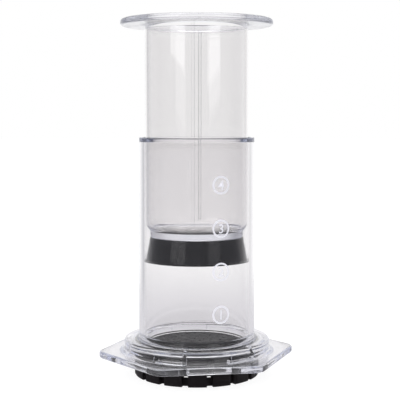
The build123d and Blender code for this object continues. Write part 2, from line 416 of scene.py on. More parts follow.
def report(piece):
    """Print a piece's size and whether its surface is closed."""
    work = bmesh.new()
    work.from_mesh(piece.data)
    open_edges = sum(1 for edge in work.edges if len(edge.link_faces) != 2)
    volume = work.calc_volume(signed=True) / MM**3
    triangles = sum(len(face.verts) - 2 for face in work.faces)
    work.free()
    print(piece.name, triangles, "triangles, open edges", open_edges, "volume mm3", round(volume))


print("corners above", round(math.degrees(SHARP_ANGLE)), "degrees stay sharp")

# %% [markdown]
# Blender's Spin tool could turn a profile too. A grid worked out one by one has two things that Spin lacks:
# the radius may change with the angle, for a hexagon or a seam, and extra columns may stand just where a
# fine line needs its edges.

# %% Surfaces of revolution
def full_turn(steps, extra=()):
    """Evenly spaced angles, 2 pi k / steps, with the extra ones sorted in between."""
    even = 2 * np.pi * np.arange(steps) / steps
    return np.unique(np.concatenate([even, np.ravel(extra) % (2 * np.pi)]))


def lathe(title, profile, turn, reach=None):
    """Carry a profile (mm) once round the axis and close it, at the poles too.

    Point (i, j) is (R cos a, R sin a, z_i), where a is angle j of the turn and R is the profile's own
    radius, or what reach(profile radii, profile heights, a) gives for it. Faces point outwards.
    """
    ring = profile[0, 0] > 0
    rows = profile if ring else profile[1:-1]
    angle, steps = turn[None], len(turn)
    radius = rows[:, :1] + 0 * angle
    if reach is not None:
        radius = reach(rows[:, :1], rows[:, 1:], angle)
    height = rows[:, 1:] + 0 * angle
    points = np.stack([radius * np.cos(angle), radius * np.sin(angle), height], axis=-1).reshape(-1, 3)
    bands = len(rows) if ring else len(rows) - 1
    i, j = np.meshgrid(np.arange(bands), np.arange(steps), indexing="ij")
    following = (j + 1) % steps
    above = (i + 1) % len(rows)
    corners = [i * steps + j, i * steps + following, above * steps + following, above * steps + j]
    faces = np.stack(corners, axis=-1).reshape(-1, 4).tolist()
    if not ring:
        poles = np.array([[0, 0, profile[0, 1]], [0, 0, profile[-1, 1]]])
        column = np.arange(steps)
        beside = (column + 1) % steps
        last_row = (len(rows) - 1) * steps
        first_fan = np.stack([0 * column + len(points), beside, column], axis=-1)
        last_fan = np.stack([last_row + column, last_row + beside, 0 * column + len(points) + 1], axis=-1)
        points = np.vstack([points, poles])
        faces += first_fan.tolist() + last_fan.tolist()
    r, z = profile[:, 0], profile[:, 1]
    outward = np.sum(r * np.roll(z, -1) - np.roll(r, -1) * z) > 0
    if not outward:
        faces = [face[::-1] for face in faces]
    return add_piece(title, points, faces)


def pole_first(loop, pole):
    """A closed outline started at one of its points on the axis, as the lathe needs it."""
    return np.roll(loop, -int(pole), axis=0)


print("8 even steps and 1 extra angle make", len(full_turn(8, [0.1])), "columns")

# %% [markdown]
# The chamber is one clear moulding: a straight tube with a rounded rim, and at its foot a raised collar on
# a hexagonal flange that rests on the mug. Its sizes come first, in millimetres: walls, steps and heights,
# and then the radii and levels that follow from them, outwards from the bore and upwards from the flange.
# The tube's foot drops a little below the collar's ceiling, to press on the filter in the cap.

# %% Chamber sizes
BORE_RADIUS, CHAMBER_WALL, NECK_STEP = 29.8, 2.8, 1.8
COLLAR_RADIUS, COLLAR_WALL, MOUTH_LIP, MUG_REST_WIDTH = 41.0, 3.4, 0.4, 7.8
FLANGE_BOTTOM, FLANGE_THICKNESS, FLARE_HEIGHT = 10.2, 3.8, 3.5
COLLAR_HEIGHT, COLLAR_TOP_THICKNESS = 6.7, 2.6
TUBE_DROP, TUBE_HEIGHT, NECK_HEIGHT, FUNNEL_HEIGHT = 0.6, 116.2, 3.9, 1.8
RIM_LEAD_HEIGHT, RIM_LEAD_WIDTH = 2.4, 1.1

CHAMBER_RADIUS = BORE_RADIUS + CHAMBER_WALL
NECK_RADIUS = BORE_RADIUS - NECK_STEP
CAVITY_RADIUS = COLLAR_RADIUS - COLLAR_WALL
MOUTH_RADIUS = COLLAR_RADIUS - MOUTH_LIP
FLANGE_APOTHEM = COLLAR_RADIUS + MUG_REST_WIDTH

FLANGE_TOP = FLANGE_BOTTOM + FLANGE_THICKNESS
FLARE_TOP = FLANGE_BOTTOM + FLARE_HEIGHT
COLLAR_TOP = FLANGE_TOP + COLLAR_HEIGHT
COLLAR_CEILING = COLLAR_TOP - COLLAR_TOP_THICKNESS
TUBE_FOOT = COLLAR_CEILING - TUBE_DROP
NECK_TOP = TUBE_FOOT + NECK_HEIGHT
FUNNEL_TOP = NECK_TOP + FUNNEL_HEIGHT
CHAMBER_RIM = TUBE_FOOT + TUBE_HEIGHT

RIM_OUTER_ROUND, RIM_INNER_ROUND, RIM_LEAD_ROUND = 0.7, 0.6, 1.0
FUNNEL_ROUND = 2.0
CEILING_FILLET, MOUTH_FLARE_ROUND = 2.8, 0.8
FLANGE_CORNER_ROUND, FLANGE_EDGE_ROUND = 8.0, 1.1
COLLAR_FOOT_FILLET, COLLAR_EDGE_ROUND, TUBE_FOOT_FILLET = 3.0, 1.8, 1.4
print("chamber from", round(FLANGE_BOTTOM, 1), "to", round(CHAMBER_RIM, 1), "mm, bore", 2 * BORE_RADIUS, "mm")

# %% [markdown]
# The hexagon can't be turned on a lathe, but its distance from the axis is a plain function of the angle,
# so the same grid takes it: on the flats the reach is the apothem divided by the cosine of the angle from
# the flat's middle, and in the corners it is where the ray meets the round. Where the mould's inserts meet,
# at the ends of the bayonet's six ledges, a fine upright line is left in the outside. It is part of the
# reach as well, and columns are added at its edges so that it stays sharp.

# %% Chamber shape
BAYONET_COUNT = 6
BAYONET_PITCH = 360 / BAYONET_COUNT
LEDGE_SECTOR = 23.4
SIXTH = math.pi / 3
HALF_SIXTH = SIXTH / 2
HEXAGON_MARK = 60.0
WITNESS_DEPTH, WITNESS_WIDTH, WITNESS_EDGE = 0.15, 0.5, 0.1
WITNESS_REACH = 2.0
LEVEL_SLACK = 0.01
CHAMBER_STEPS = 600


def folded(angle):
    """Angle to the nearest corner of the hexagon, from 0 to 30 degrees."""
    return np.abs((angle + HALF_SIXTH) % SIXTH - HALF_SIXTH)


def hexagon_reach(inset, angle):
    """Distance from the axis to the rounded hexagon drawn in by an inset, at each angle.

    Up to the round's end the ray meets the corner circle, further on it meets the straight side.
    """
    fold = folded(angle)
    centre = (FLANGE_APOTHEM - FLANGE_CORNER_ROUND) / math.cos(HALF_SIXTH)
    bend = FLANGE_CORNER_ROUND - inset
    round_end = np.arctan2(bend * math.sin(HALF_SIXTH), centre + bend * math.cos(HALF_SIXTH))
    on_round = centre * np.cos(fold) + np.sqrt(np.maximum(bend**2 - (centre * np.sin(fold)) ** 2, 0))
    on_side = (FLANGE_APOTHEM - inset) / np.cos(HALF_SIXTH - fold)
    return np.where(fold < round_end, on_round, on_side)


def line_columns(middles, width, edge, radius):
    """Angles of the four edges of narrow lines with sloping sides, about the middle of each."""
    offsets = np.array([-width - edge, edge - width, width - edge, width + edge]) / 2
    return np.asarray(middles)[:, None] + offsets / radius


def raised_line(gap, width, edge):
    """Height from 0 to 1 across a line: 1 within width / 2, falling to 0 over one edge width."""
    return np.clip((width / 2 - gap) / edge + 0.5, 0, 1)


def chamber_reach(radius, height, angle):
    """The profile's own radius, except past the collar, where it counts the inset from the hexagon.

    The gap to a witness line is the angle to the nearest ledge end, |fold - half a sector|, times the
    collar's radius. The lines are sunk only into the outside, above the flange's underside.
    """
    past_collar = radius > (HEXAGON_MARK + COLLAR_RADIUS) / 2
    plain = np.where(past_collar, hexagon_reach(HEXAGON_MARK - radius, angle), radius)
    gap = np.abs(folded(angle) - math.radians(LEDGE_SECTOR / 2)) * COLLAR_RADIUS
    outside = (radius > COLLAR_RADIUS - WITNESS_REACH) & (height > FLANGE_BOTTOM + LEVEL_SLACK)
    return plain - WITNESS_DEPTH * raised_line(gap, WITNESS_WIDTH, WITNESS_EDGE) * outside


chamber_profile = rounded_profile(
    [
        (NECK_RADIUS, TUBE_FOOT, 0),
        (CHAMBER_RADIUS, TUBE_FOOT, 0),
        (CHAMBER_RADIUS, COLLAR_CEILING, 0),
        (CAVITY_RADIUS, COLLAR_CEILING, CEILING_FILLET),
        (CAVITY_RADIUS, FLARE_TOP, MOUTH_FLARE_ROUND),
        (MOUTH_RADIUS, FLANGE_BOTTOM, 0),
        (HEXAGON_MARK, FLANGE_BOTTOM, FLANGE_EDGE_ROUND),
        (HEXAGON_MARK, FLANGE_TOP, FLANGE_EDGE_ROUND),
        (COLLAR_RADIUS, FLANGE_TOP, COLLAR_FOOT_FILLET),
        (COLLAR_RADIUS, COLLAR_TOP, COLLAR_EDGE_ROUND),
        (CHAMBER_RADIUS, COLLAR_TOP, TUBE_FOOT_FILLET),
        (CHAMBER_RADIUS, CHAMBER_RIM, RIM_OUTER_ROUND),
        (BORE_RADIUS + RIM_LEAD_WIDTH, CHAMBER_RIM, RIM_INNER_ROUND),
        (BORE_RADIUS, CHAMBER_RIM - RIM_LEAD_HEIGHT, RIM_LEAD_ROUND),
        (BORE_RADIUS, FUNNEL_TOP, FUNNEL_ROUND),
        (NECK_RADIUS, NECK_TOP, 0),
    ]
)
ledge_middles = BAYONET_PITCH * np.arange(BAYONET_COUNT)[:, None]
ledge_ends = np.radians(ledge_middles + LEDGE_SECTOR / 2 * np.array([-1, 1])).ravel()
witness_turn = line_columns(ledge_ends, WITNESS_WIDTH, WITNESS_EDGE, COLLAR_RADIUS)
chamber = lathe("chamber_shell", chamber_profile, full_turn(CHAMBER_STEPS, witness_turn), chamber_reach)
report(chamber)

# %% [markdown]
# The bayonet. Inside the collar stand six ledges that hold the cap's lugs, with a stop beside each. They end
# in square steps that a smooth grid can't hold, so they are blocks joined on by an exact boolean. Each
# block reaches a little into the collar, because faces that only touch would leave a slit.

# %% Ledges and stops
CAP_RADIUS, CAP_CLEARANCE = 35.1, 0.35
LEDGE_HEIGHT, LEDGE_OVERLAP, LEDGE_STEPS = 2.8, 1.0, 24
LUG_SECTOR, STOP_GAP, STOP_SECTOR = 20.0, 0.5, 3.0
STOP_REACH, STOP_OVERLAP, STOP_ROOT, STOP_STEPS = 1.9, 0.1, 1.3, 6
STOP_MIDDLE = (LUG_SECTOR + STOP_SECTOR) / 2 + STOP_GAP


def sector_blocks(title, radii, levels, middle, width, steps):
    """Six curved blocks, one pitch of 60 degrees apart, as one mesh.

    Point (k, s, c) has the angle middle + 60 k + width (s / steps - 1/2), and c picks a corner of the square
    section: inner or outer radius, bottom or top.
    """
    (inner, outer), (bottom, top) = radii, levels
    section = np.array([(inner, bottom), (outer, bottom), (outer, top), (inner, top)])
    middles = middle + BAYONET_PITCH * np.arange(BAYONET_COUNT)[:, None]
    turn = np.radians(middles + width * (np.arange(steps + 1) / steps - 0.5))[..., None]
    radius, height = section[:, 0], section[:, 1] + 0 * turn
    points = np.stack([radius * np.cos(turn), radius * np.sin(turn), height], axis=-1).reshape(-1, 3)
    s, c = np.meshgrid(np.arange(steps), np.arange(4), indexing="ij")
    after = (c + 1) % 4
    skin = np.stack([4 * s + c, 4 * s + 4 + c, 4 * s + 4 + after, 4 * s + after], axis=-1).reshape(-1, 4)
    caps = np.array([[0, 1, 2, 3], [4 * steps + 3, 4 * steps + 2, 4 * steps + 1, 4 * steps]])
    block = np.vstack([skin, caps])
    copies = block[None] + (np.arange(BAYONET_COUNT) * 4 * (steps + 1))[:, None, None]
    return add_piece(title, points, copies.reshape(-1, 4).tolist())


def join(piece, tool):
    """Join a tool to a piece with an exact boolean and delete the tool."""
    modifier = piece.modifiers.new("join", "BOOLEAN")
    modifier.operation, modifier.solver, modifier.object = "UNION", "EXACT", tool
    result = bpy.data.meshes.new_from_object(piece.evaluated_get(bpy.context.evaluated_depsgraph_get()))
    piece.modifiers.clear()
    piece.data = result
    bpy.data.objects.remove(tool)


ledge_radii = (CAP_RADIUS + CAP_CLEARANCE, MOUTH_RADIUS + LEDGE_OVERLAP)
ledge_levels = (FLANGE_BOTTOM, FLANGE_BOTTOM + LEDGE_HEIGHT)
join(chamber, sector_blocks("ledges", ledge_radii, ledge_levels, 0, LEDGE_SECTOR, LEDGE_STEPS))
stop_radii = (CAVITY_RADIUS - STOP_REACH, MOUTH_RADIUS + STOP_OVERLAP)
stop_levels = (FLANGE_BOTTOM, COLLAR_CEILING + STOP_ROOT)
join(chamber, sector_blocks("stops", stop_radii, stop_levels, STOP_MIDDLE, STOP_SECTOR, STOP_STEPS))
smooth(chamber)
report(chamber)

# %% [markdown]
# The plunger is the second clear moulding: a slightly tapered tube, open at the top under a broad round
# flange for the palm, closed by a thick end plate. Round the plate the outside steps in through a rounded
# shoulder to an end ring, and below it are a groove and a hollow head that holds the seal. Its levels are
# counted from the head's underside, which stands where the photograph shows it in the chamber.

# %% Plunger sizes
PLUNGER_CLEARANCE, PLUNGER_DRAFT, PLUNGER_WALL = 0.7, 0.3, 1.5
PLUNGER_LIFT, PLUNGER_HEIGHT = 48.9, 133.4
PUSH_FLANGE_REACH, PUSH_FLANGE_THICKNESS = 13.8, 3.6
SHOULDER_REACH, SHOULDER_HEIGHT = 2.3, 5.8
RING_HEIGHT, RING_TAPER, PLATE_THICKNESS = 3.6, 0.5, 3.4
GROOVE_DEPTH, GROOVE_HEIGHT = 6.0, 3.7
HEAD_STEP, HEAD_HEIGHT, HEAD_WALL = 2.1, 7.9, 6.4

PLUNGER_TOP_RADIUS = BORE_RADIUS - PLUNGER_CLEARANCE
PLUNGER_END_RADIUS = PLUNGER_TOP_RADIUS - PLUNGER_DRAFT
PUSH_FLANGE_RADIUS = PLUNGER_TOP_RADIUS + PUSH_FLANGE_REACH
RING_RADIUS = PLUNGER_END_RADIUS - SHOULDER_REACH
GROOVE_RADIUS = RING_RADIUS - GROOVE_DEPTH
HEAD_RADIUS = RING_RADIUS - HEAD_STEP
HEAD_BORE = HEAD_RADIUS - HEAD_WALL

HEAD_BOTTOM = TUBE_FOOT + PLUNGER_LIFT
HEAD_TOP = HEAD_BOTTOM + HEAD_HEIGHT
RING_BOTTOM = HEAD_TOP + GROOVE_HEIGHT
RING_TOP = RING_BOTTOM + RING_HEIGHT
PLATE_TOP = RING_TOP
PLATE_BOTTOM = PLATE_TOP - PLATE_THICKNESS
SHOULDER_TOP = RING_TOP + SHOULDER_HEIGHT
PLUNGER_TOP = HEAD_BOTTOM + PLUNGER_HEIGHT
PUSH_FLANGE_BOTTOM = PLUNGER_TOP - PUSH_FLANGE_THICKNESS

PUSH_FLANGE_FILLET, PUSH_FLANGE_ROUND, PLUNGER_MOUTH_ROUND = 2.0, 1.4, 0.7
PLATE_FILLET, HEAD_ROUND = 5.5, 0.8
print("plunger from", round(HEAD_BOTTOM, 1), "to", round(PLUNGER_TOP, 1), "mm")

# %% [markdown]
# The two halves of the plunger's mould leave a fine raised seam down the front and the back, which shows as
# thin upright lines. The seam is part of the radius: a low flat ridge with steep sides at two opposite
# angles. The shoulder is one arc that leaves the tube wall straight down and bends in to the end ring.

# %% Plunger shape
SEAM_ANGLE = math.radians(-102.1)
SEAM_HEIGHT, SEAM_WIDTH, SEAM_EDGE = 0.32, 1.4, 0.17
SEAM_RUN_IN, SEAM_RUN_OUT, SEAM_RUN_UP = 0.4, 2.9, 0.1
SHOULDER_STEPS = 14
PLUNGER_STEPS = 720


def bowed(first, last, radius, steps):
    """Points inside an arc between two profile points, bowed out from the axis.

    The centre lies sqrt(radius squared - half chord squared) behind the middle of the chord.
    """
    first, last = np.array(first), np.array(last)
    half = np.linalg.norm(last - first) / 2
    along = (last - first) / (2 * half)
    out = np.array([along[1], -along[0]])
    centre = (first + last) / 2 - out * math.sqrt(radius**2 - half**2)
    widest = np.arcsin(half / radius)
    turn = np.linspace(-widest, widest, steps + 1)[1:-1, None]
    return centre + radius * (np.cos(turn) * out + np.sin(turn) * along)


def with_seams(radius, height, angle):
    """The profile's own radius, with a low flat ridge on the outer wall at the seam angle and opposite it.

    The outer wall is where the radius is near the tube's own, between the end ring and the push flange. The
    seam runs a little way into the shoulder and out along the flange's fillet.
    """
    gap = np.abs((angle - SEAM_ANGLE + np.pi / 2) % np.pi - np.pi / 2) * PLUNGER_TOP_RADIUS
    ridge = raised_line(gap, SEAM_WIDTH, SEAM_EDGE)
    near = (radius > PLUNGER_END_RADIUS - SEAM_RUN_IN) & (radius < PLUNGER_TOP_RADIUS + SEAM_RUN_OUT)
    between = (height > RING_TOP) & (height < PUSH_FLANGE_BOTTOM + SEAM_RUN_UP)
    return radius + SEAM_HEIGHT * ridge * (near & between)


wall_profile = rounded_profile(
    [
        (PLUNGER_END_RADIUS, SHOULDER_TOP, 0),
        (PLUNGER_TOP_RADIUS, PUSH_FLANGE_BOTTOM, PUSH_FLANGE_FILLET),
        (PUSH_FLANGE_RADIUS, PUSH_FLANGE_BOTTOM, PUSH_FLANGE_ROUND),
        (PUSH_FLANGE_RADIUS, PLUNGER_TOP, PUSH_FLANGE_ROUND),
        (PLUNGER_TOP_RADIUS - PLUNGER_WALL, PLUNGER_TOP, PLUNGER_MOUTH_ROUND),
        (PLUNGER_END_RADIUS - PLUNGER_WALL, PLATE_TOP, PLATE_FILLET),
        (0, PLATE_TOP, 0),
        (0, PLATE_BOTTOM, 0),
        (HEAD_BORE, PLATE_BOTTOM, HEAD_ROUND),
        (HEAD_BORE, HEAD_BOTTOM, 0),
        (HEAD_RADIUS, HEAD_BOTTOM, HEAD_ROUND),
        (HEAD_RADIUS, HEAD_TOP, HEAD_ROUND),
        (GROOVE_RADIUS, HEAD_TOP, 0),
        (GROOVE_RADIUS, RING_BOTTOM, 0),
        (RING_RADIUS - RING_TAPER, RING_BOTTOM, 0),
        (RING_RADIUS, RING_TOP, 0),
    ]
)
shoulder_radius = (SHOULDER_HEIGHT**2 + SHOULDER_REACH**2) / (2 * SHOULDER_REACH)
shoulder = bowed((RING_RADIUS, RING_TOP), (PLUNGER_END_RADIUS, SHOULDER_TOP), shoulder_radius, SHOULDER_STEPS)
plunger_loop = np.vstack([wall_profile, shoulder])
plate_underside = np.flatnonzero(plunger_loop[:, 0] == 0)[1]
seam_turn = line_columns([SEAM_ANGLE, SEAM_ANGLE + np.pi], SEAM_WIDTH, SEAM_EDGE, PLUNGER_TOP_RADIUS)
plunger_turn = full_turn(PLUNGER_STEPS, seam_turn)
plunger = lathe("plunger_tube", pole_first(plunger_loop, plate_underside), plunger_turn, with_seams)
report(plunger)

# %% [markdown]
# The seal is one rubber cup: a thick lip in the plunger's groove, a conical skirt that widens downwards and
# a sharp wiping lip at full bore, over a slightly domed face. It is turned as well, with small rounds, since
# rubber has no sharp corners.

# %% Seal
RUNNING_CLEARANCE, SEAT_CLEARANCE = 0.05, 0.05
SEAL_SKIRT_STEP, SEAL_TOP_STEP = 1.25, 3.45
SEAL_FACE_THICKNESS, SEAL_DOME = 2.6, 0.9
SEAL_LIP_HEIGHT, SEAL_FLARE_HEIGHT = 0.4, 0.5
SEAL_LIP_ROUND, SEAL_ROUND = 0.2, 0.5
DOME_STEPS, SEAL_STEPS = 13, 480

SEAL_LIP_RADIUS = BORE_RADIUS - RUNNING_CLEARANCE
SEAL_SKIRT_RADIUS = SEAL_LIP_RADIUS - SEAL_SKIRT_STEP
SEAL_TOP_RADIUS = SEAL_LIP_RADIUS - SEAL_TOP_STEP
SEAT_GROOVE_RADIUS = GROOVE_RADIUS + SEAT_CLEARANCE
SEAT_RADIUS = HEAD_RADIUS + SEAT_CLEARANCE
SEAL_TOP = RING_BOTTOM - SEAT_CLEARANCE
SEAT_TOP = HEAD_TOP + SEAT_CLEARANCE
SEAT_FLOOR = HEAD_BOTTOM - SEAT_CLEARANCE
SEAL_BOTTOM = SEAT_FLOOR - SEAL_FACE_THICKNESS
SEAL_LIP_BOTTOM = SEAL_BOTTOM + SEAL_DOME
SEAL_LIP_TOP = SEAL_LIP_BOTTOM + SEAL_LIP_HEIGHT
SEAL_FLARE_TOP = SEAL_LIP_TOP + SEAL_FLARE_HEIGHT

seal_walls = rounded_profile(
    [
        (SEAL_LIP_RADIUS, SEAL_LIP_BOTTOM, SEAL_LIP_ROUND),
        (SEAL_LIP_RADIUS, SEAL_LIP_TOP, 0),
        (SEAL_SKIRT_RADIUS, SEAL_FLARE_TOP, SEAL_ROUND),
        (SEAL_TOP_RADIUS, SEAL_TOP, SEAL_ROUND),
        (SEAT_GROOVE_RADIUS, SEAL_TOP, 0),
        (SEAT_GROOVE_RADIUS, SEAT_TOP, 0),
        (SEAT_RADIUS, SEAT_TOP, 0),
        (SEAT_RADIUS, SEAT_FLOOR, 0),
        (0, SEAT_FLOOR, 0),
        (0, SEAL_BOTTOM, 0),
    ]
)
dome_radius = (SEAL_LIP_RADIUS**2 + SEAL_DOME**2) / (2 * SEAL_DOME)
dome_reach = np.linspace(0, seal_walls[0, 0], DOME_STEPS + 1)[1:-1]
dome_height = SEAL_BOTTOM + dome_radius - np.sqrt(dome_radius**2 - dome_reach**2)
seal_loop = np.vstack([seal_walls, np.stack([dome_reach, dome_height], axis=-1)])
face_middle = np.flatnonzero(seal_loop[:, 0] == 0)[1]
seal = lathe("seal_cup", pole_first(seal_loop, face_middle), full_turn(SEAL_STEPS))
report(seal)

# %% [markdown]
# The filter cap has the most cut-outs: 91 drain holes, 16 grip notches with a slot in each, and six lugs.
# Its CAD surface already has every one of them, so a copy is taken, its loose triangles are merged into
# one skin, and flat areas are joined.

# %% Filter cap
MERGE_DISTANCE = 0.002 * MM
FLAT_ANGLE = math.radians(0.5)

cap = bpy.data.objects.new("filter_cap_body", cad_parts["filter_cap"].data.copy())
bpy.context.scene.collection.objects.link(cap)
skin = bmesh.new()
skin.from_mesh(cap.data)
bmesh.ops.remove_doubles(skin, verts=skin.verts, dist=MERGE_DISTANCE)
bmesh.ops.dissolve_limit(
    skin, angle_limit=FLAT_ANGLE, verts=skin.verts, edges=skin.edges, delimit={"NORMAL"}
)
skin.to_mesh(cap.data)
skin.free()
smooth(cap)
report(cap)

# %% [markdown]
# The volume marks are white ink on the outside of the chamber: the numbers 1 to 4, each in a ring, printed
# one above the other. Real ink is a film, so each mark is a very thin solid that is laid out flat and then
# bent round the tube: the flat x becomes an angle, x divided by the tube's radius. A flat number is sliced
# every 0.4 mm first, or it would cut the corner of the bend. Its strokes are a hair wider than the font's,
# as ink spreads a little.

# %% Flat rings and numbers
INK_DEPTH = 0.03
MARK_RADIUS = 4.95
MARK_STROKE = 0.95
MARK_STEPS = 96
DIGIT_HEIGHT = 5.0
DIGIT_SWELL = 0.008
SLICE_WIDTH = 0.4
FONT_MERGE_DISTANCE = 1e-5


def ink_ring():
    """A flat ring: four section corners carried round a circle, at MARK_RADIUS and one stroke inside it."""
    inside = MARK_RADIUS - MARK_STROKE
    section = np.array([(inside, 0), (MARK_RADIUS, 0), (MARK_RADIUS, INK_DEPTH), (inside, INK_DEPTH)])
    turn = 2 * np.pi * np.arange(MARK_STEPS)[:, None] / MARK_STEPS
    reach, depth = section[:, 0], section[:, 1] + 0 * turn
    flat = np.stack([reach * np.cos(turn), reach * np.sin(turn), depth], axis=-1).reshape(-1, 3)
    s, c = np.meshgrid(np.arange(MARK_STEPS), np.arange(4), indexing="ij")
    beside, after = (s + 1) % MARK_STEPS, (c + 1) % 4
    faces = np.stack([4 * s + c, 4 * beside + c, 4 * beside + after, 4 * s + after], axis=-1).reshape(-1, 4)
    return flat, faces.tolist()


def ink_digit(figure):
    """A flat number as a thin solid, DIGIT_HEIGHT tall, sliced into narrow upright strips."""
    curve = bpy.data.curves.new("digit", "FONT")
    curve.body, curve.align_x, curve.extrude = figure, "CENTER", INK_DEPTH / 2
    curve.offset = DIGIT_SWELL
    holder = bpy.data.objects.new("digit", curve)
    bpy.context.scene.collection.objects.link(holder)
    mesh = bpy.data.meshes.new_from_object(holder.evaluated_get(bpy.context.evaluated_depsgraph_get()))
    bpy.data.objects.remove(holder)
    work = bmesh.new()
    work.from_mesh(mesh)
    bmesh.ops.remove_doubles(work, verts=work.verts, dist=FONT_MERGE_DISTANCE)
    outline = np.array([v.co for v in work.verts])
    low, high = outline.min(0), outline.max(0)
    middle, grow = (low + high) / 2, DIGIT_HEIGHT / (high[1] - low[1])
    width = (high[0] - low[0]) * grow
    for cut in np.arange(SLICE_WIDTH - width / 2, width / 2, SLICE_WIDTH):
        parts = work.verts[:] + work.edges[:] + work.faces[:]
        on_cut = (middle[0] + cut / grow, 0, 0)
        bmesh.ops.bisect_plane(work, geom=parts, plane_co=on_cut, plane_no=(1, 0, 0))
    points = np.array([v.co for v in work.verts])
    level = (points[:, :2] - middle[:2]) * grow
    faces = [[v.index for v in face.verts] for face in work.faces]
    work.free()
    return np.column_stack([level, points[:, 2] + INK_DEPTH / 2]), faces


print("ring of", MARK_STEPS, "steps, numbers", DIGIT_HEIGHT, "mm tall")

# %% Volume marks round the tube
INK_GAP = 0.01
MARK_ANGLE = math.radians(-74.5)
MARK_LEVELS = {"4": 108.6, "3": 85.1, "2": 61.8, "1": 38.5}


def wrapped(flat, level):
    """Bend flat points (x, y, depth) round the tube: angle = MARK_ANGLE + x / radius, height = level + y."""
    turn = MARK_ANGLE + flat[:, 0] / CHAMBER_RADIUS
    radius = CHAMBER_RADIUS + INK_GAP + flat[:, 2]
    return np.stack([radius * np.cos(turn), radius * np.sin(turn), level + flat[:, 1]], axis=-1)


marks = []
for figure, level in MARK_LEVELS.items():
    ring_points, ring_faces = ink_ring()
    digit_points, digit_faces = ink_digit(figure)
    faces = ring_faces + [[v + len(ring_points) for v in face] for face in digit_faces]
    mark = add_piece("volume_mark_" + figure, wrapped(np.vstack([ring_points, digit_points]), level), faces)
    report(mark)
    marks.append(mark)

# %% [markdown]
# Clear plastic. The chamber and the plunger are the same kind of clear copolyester: it bends light like
# glass and isn't perfectly flat. As it flows into the mould it leaves long shallow waves along the tube,
# which make the reflections waver. The underside of the push flange is satin, which is a rougher patch in
# the same surface. Both are in one node group for the two pieces.

# %% Waves left by the mould
WAVE_DETAIL, WAVE_ROUGHNESS = 1.5, 0.4
HAZE_STARTS, HAZE_IS_FULL, MOST_HAZE = 0.35, 0.7, 0.035
PLASTIC_DARK = (0.952, 0.943, 0.942, 1)
PLASTIC_PALE = (0.972, 0.963, 0.962, 1)


def axis_place(tree, position):
    """A point's distance from the press's axis, and its height."""
    reach = vector_maths(tree, "LENGTH", vector_maths(tree, "MULTIPLY", position, FLAT))
    return reach, height_of(tree, position)


def make_mould_waves():
    """Long shallow waves: noise on Object coordinates squeezed along Z, so that it runs up the tube.

    Haze is the surface's roughness. Outside the satin radius and below the satin top it is raised.
    """
    group, inner, outer = new_group(
        "mould_waves",
        [
            ("Position", "Vector", (0, 0, 0)),
            ("Waves Per Metre", "Float", 90.0),
            ("Stretch", "Float", 0.12),
            ("Satin Radius", "Float", 1.0),
            ("Satin Top", "Float", 0.0),
            ("Satin", "Float", 0.22),
        ],
        [("Height", "Float"), ("Haze", "Float"), ("Tint", "Color")],
    )
    given = inner.outputs
    squeeze = feed(group, place(group, "CombineXYZ"), 1.0, 1.0, given["Stretch"]).outputs[0]
    spot = vector_maths(group, "MULTIPLY", given["Position"], squeeze)
    noise = feed(group, place(group, "TexNoise"), Vector=spot, Scale=given["Waves Per Metre"])
    waves = feed(group, noise, Detail=WAVE_DETAIL, Roughness=WAVE_ROUGHNESS).outputs["Fac"]
    reach, height = axis_place(group, given["Position"])
    far = maths(group, "GREATER_THAN", reach, given["Satin Radius"])
    under = maths(group, "LESS_THAN", height, given["Satin Top"])
    satin = maths(group, "MULTIPLY", far, under)
    haze = stretch(group, waves, HAZE_STARTS, HAZE_IS_FULL, 0.0, MOST_HAZE)
    haze = maths(group, "MULTIPLY_ADD", satin, given["Satin"], haze)
    feed(group, outer, Height=waves, Haze=haze, Tint=mix(group, waves, PLASTIC_DARK, PLASTIC_PALE))
    return group


mould_waves = make_mould_waves()
print("mould waves group with", len(mould_waves.nodes), "nodes")

# %% [markdown]
# The thick foot and the end plate of clear mouldings look brighter than their thin walls, because light that
# enters anywhere is led along inside and comes out there. Following all of that light takes very long, so
# a second group gives it as soft streaks in one zone of the piece.

# %% Light gathered in thick plastic
STREAK_SLOPE = 0.7
STREAK_DRIFT = 0.012
DRIFT_SCALE, DRIFT_DETAIL = 60.0, 1.0
STREAKS_PER_METRE = 700.0
DIMMEST_STREAK = 0.3
ZONE_FADE = 0.003
GATHERED_COLOUR = (0.97, 0.97, 1.0, 1)
NO_LIGHT = (0, 0, 0, 1)


def make_gathered_light():
    """Soft streaks of light in one zone of radius and height, brightest low down and fading upwards.

    The streaks are sin(700 (radius + 0.7 height + a little noise)), in metres, lifted to stay above zero.
    """
    group, inner, outer = new_group(
        "gathered_light",
        [
            ("Position", "Vector", (0, 0, 0)),
            ("Inner", "Float", -1.0),
            ("Outer", "Float", 0.0276),
            ("Low", "Float", 0.0),
            ("High", "Float", 0.1),
        ],
        [("Glow", "Color")],
    )
    given = inner.outputs
    reach, height = axis_place(group, given["Position"])
    noise = place(group, "TexNoise")
    drift = feed(group, noise, Vector=given["Position"], Scale=DRIFT_SCALE, Detail=DRIFT_DETAIL)
    phase = maths(group, "MULTIPLY_ADD", height, STREAK_SLOPE, reach)
    phase = maths(group, "MULTIPLY_ADD", drift.outputs["Fac"], STREAK_DRIFT, phase)
    wave = maths(group, "SINE", maths(group, "MULTIPLY", phase, STREAKS_PER_METRE))
    glow = stretch(group, wave, -1.0, 1.0, DIMMEST_STREAK, 1.0)
    inset = maths(group, "SUBTRACT", given["Outer"], ZONE_FADE)
    for part in (
        fade(group, reach, inset, given["Outer"], 1.0, 0.0),
        fade(group, height, given["Low"], given["High"], 1.0, 0.0),
        maths(group, "GREATER_THAN", reach, given["Inner"]),
        maths(group, "GREATER_THAN", height, given["Low"]),
    ):
        glow = maths(group, "MULTIPLY", glow, part)
    feed(group, outer, Glow=mix(group, glow, NO_LIGHT, GATHERED_COLOUR))
    return group


